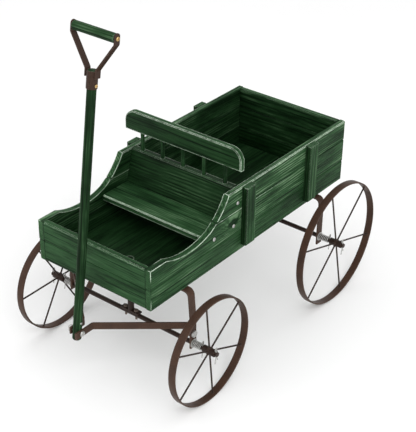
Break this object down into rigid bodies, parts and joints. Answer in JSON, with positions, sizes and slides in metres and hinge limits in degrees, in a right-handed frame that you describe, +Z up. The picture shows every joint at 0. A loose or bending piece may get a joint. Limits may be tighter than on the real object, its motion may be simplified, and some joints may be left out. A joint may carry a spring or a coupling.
{
  "type": "garden wagon",
  "caption": "Plank garden wagon with a bench and spindle backrest, a rear box, spoked iron wheels, a steered front truck and a tilting stick handle with a D grip.",
  "frame": {"origin": "on the ground under the middle of the whole wagon, handle included", "axes": "+X across the wagon to its right-hand wheels, -Y forwards to the drawbar, +Y rearwards, +Z up"},
  "size_m": [0.368, 0.6297, 0.625],
  "materials": {
    "stained_wood": "green stain over brushed, strongly grained pine with paler worn edges",
    "stained_wood_inside": "dark green stain, darker in the shade of the box",
    "stained_stick": "dark green stained round wood",
    "dark_iron": "rust-brown painted iron, satin",
    "zinc_hardware": "zinc-plated steel",
    "brass_hardware": "yellow passivated screws"
  },
  "bodies": {
    "body": {"side_plank_left_low": "stained_wood", "side_plank_left_mid": "stained_wood", "side_plank_left_top": "stained_wood", "batten_left_front": "stained_wood", "batten_left_rear": "stained_wood", "side_plank_right_low": "stained_wood", "side_plank_right_mid": "stained_wood", "side_plank_right_top": "stained_wood", "batten_right_front": "stained_wood", "batten_right_rear": "stained_wood", "front_plank_low": "stained_wood", "front_plank_top": "stained_wood", "rear_plank_low": "stained_wood", "rear_plank_mid": "stained_wood", "rear_plank_top": "stained_wood", "floor_board_left": "stained_wood_inside", "floor_board_mid": "stained_wood_inside", "floor_board_right": "stained_wood_inside", "seat_board_front": "stained_wood", "seat_board_rear": "stained_wood", "seat_back_low": "stained_wood", "seat_back_mid": "stained_wood", "seat_back_top": "stained_wood", "backrest_board": "stained_wood", "backrest_spindles": "stained_wood", "side_screws": "zinc_hardware", "rear_bracket": "dark_iron", "rear_bracket_screws": "zinc_hardware", "rear_axle": "dark_iron", "rear_hub_washers": "zinc_hardware", "rear_hub_springs": "zinc_hardware", "rear_cotter_pins": "zinc_hardware"},
    "front_truck": {"front_bracket": "dark_iron", "front_axle": "dark_iron", "king_post": "dark_iron", "king_washer": "dark_iron", "axle_clamp_bolts": "zinc_hardware", "drawbar_bolts": "zinc_hardware", "front_hub_washers": "zinc_hardware", "front_hub_springs": "zinc_hardware", "front_cotter_pins": "zinc_hardware"},
    "drawbar": {"drawbar_arm_left": "dark_iron", "drawbar_arm_right": "dark_iron", "handle_bolt": "zinc_hardware"},
    "handle": {"handle_stick": "stained_stick", "handle_sleeve": "dark_iron", "grip_bar_left": "dark_iron", "grip_bar_right": "dark_iron", "hand_grip": "stained_stick", "handle_screws": "brass_hardware", "grip_screws": "brass_hardware"},
    "wheel_front_left": {"wheel_rim_front_left": "dark_iron", "wheel_spider_front_left": "dark_iron"},
    "wheel_front_right": {"wheel_rim_front_right": "dark_iron", "wheel_spider_front_right": "dark_iron"},
    "wheel_rear_left": {"wheel_rim_rear_left": "dark_iron", "wheel_spider_rear_left": "dark_iron"},
    "wheel_rear_right": {"wheel_rim_rear_right": "dark_iron", "wheel_spider_rear_right": "dark_iron"}
  },
  "joints": [
    {"name": "steer", "type": "hinge", "parent": "body", "child": "front_truck", "pos_m": [0, -0.17325, 0.19], "axis": [0, 0, 1], "range_deg": [-25, 25]},
    {"name": "drawbar_tilt", "type": "hinge", "parent": "front_truck", "child": "drawbar", "pos_m": [0, -0.17325, 0.1146], "axis": [1, 0, 0], "range_deg": [0, 10]},
    {"name": "handle_tilt", "type": "hinge", "parent": "drawbar", "child": "handle", "pos_m": [0, -0.30135, 0.131], "axis": [1, 0, 0], "range_deg": [0, 98]},
    {"name": "front_left_wheel_spin", "type": "hinge", "parent": "front_truck", "child": "wheel_front_left", "pos_m": [-0.1675, -0.17325, 0.0958], "axis": [1, 0, 0], "continuous": true},
    {"name": "front_right_wheel_spin", "type": "hinge", "parent": "front_truck", "child": "wheel_front_right", "pos_m": [0.1675, -0.17325, 0.0958], "axis": [1, 0, 0], "continuous": true},
    {"name": "rear_left_wheel_spin", "type": "hinge", "parent": "body", "child": "wheel_rear_left", "pos_m": [-0.1675, 0.19715, 0.1177], "axis": [1, 0, 0], "continuous": true},
    {"name": "rear_right_wheel_spin", "type": "hinge", "parent": "body", "child": "wheel_rear_right", "pos_m": [0.1675, 0.19715, 0.1177], "axis": [1, 0, 0], "continuous": true}
  ]
}
